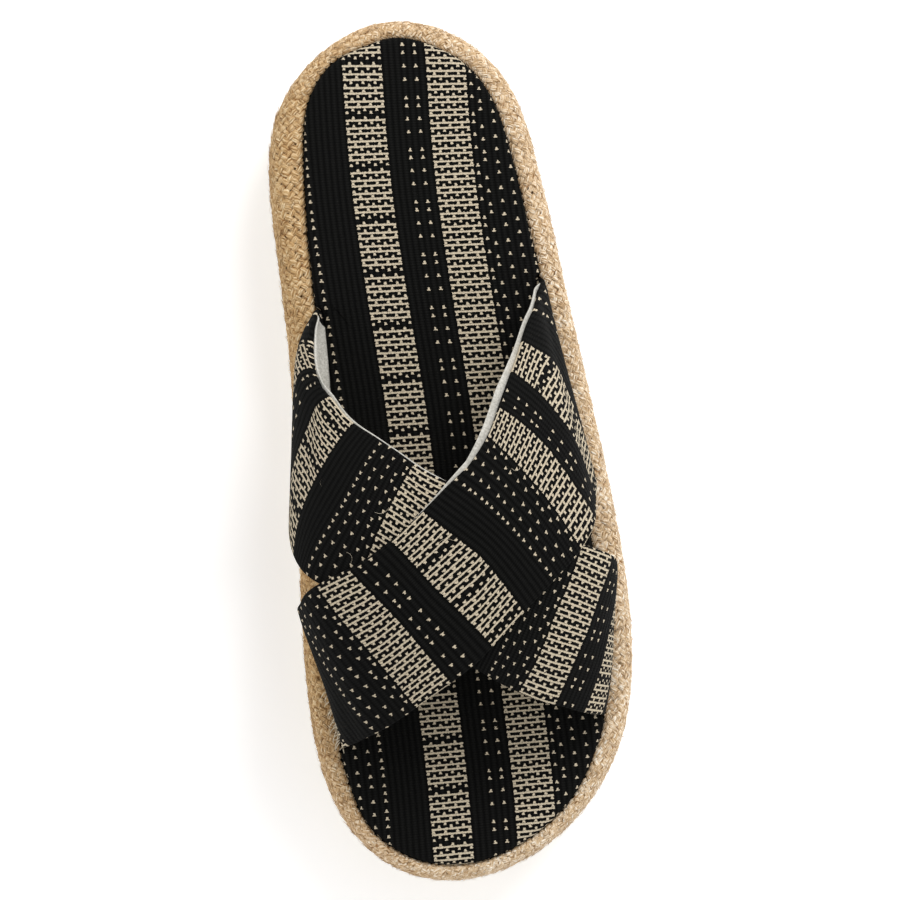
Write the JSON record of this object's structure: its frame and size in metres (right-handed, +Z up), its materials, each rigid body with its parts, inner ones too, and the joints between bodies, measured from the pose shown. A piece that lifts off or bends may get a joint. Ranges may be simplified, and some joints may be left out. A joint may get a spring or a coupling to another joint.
{
  "type": "house slipper",
  "caption": "Left slide slipper with crossed woven straps, a padded striped insole, a jute-wrapped platform and a ribbed rubber outsole; open at toe and heel.",
  "frame": {"origin": "on the ground, under the middle of the slipper's bounding box", "axes": "+X to the lateral side of the left foot, +Y to the heel, -Y to the toe, +Z up"},
  "size_m": [0.1014, 0.262, 0.0874],
  "materials": {
    "outsole": "satin",
    "platform": "matte woven jute",
    "insole": "matte woven stripes",
    "upper": "matte woven stripes"
  },
  "bodies": {
    "root": {"outsole": "outsole", "platform": "platform", "insole": "insole", "upper": "upper"}
  },
  "joints": []
}
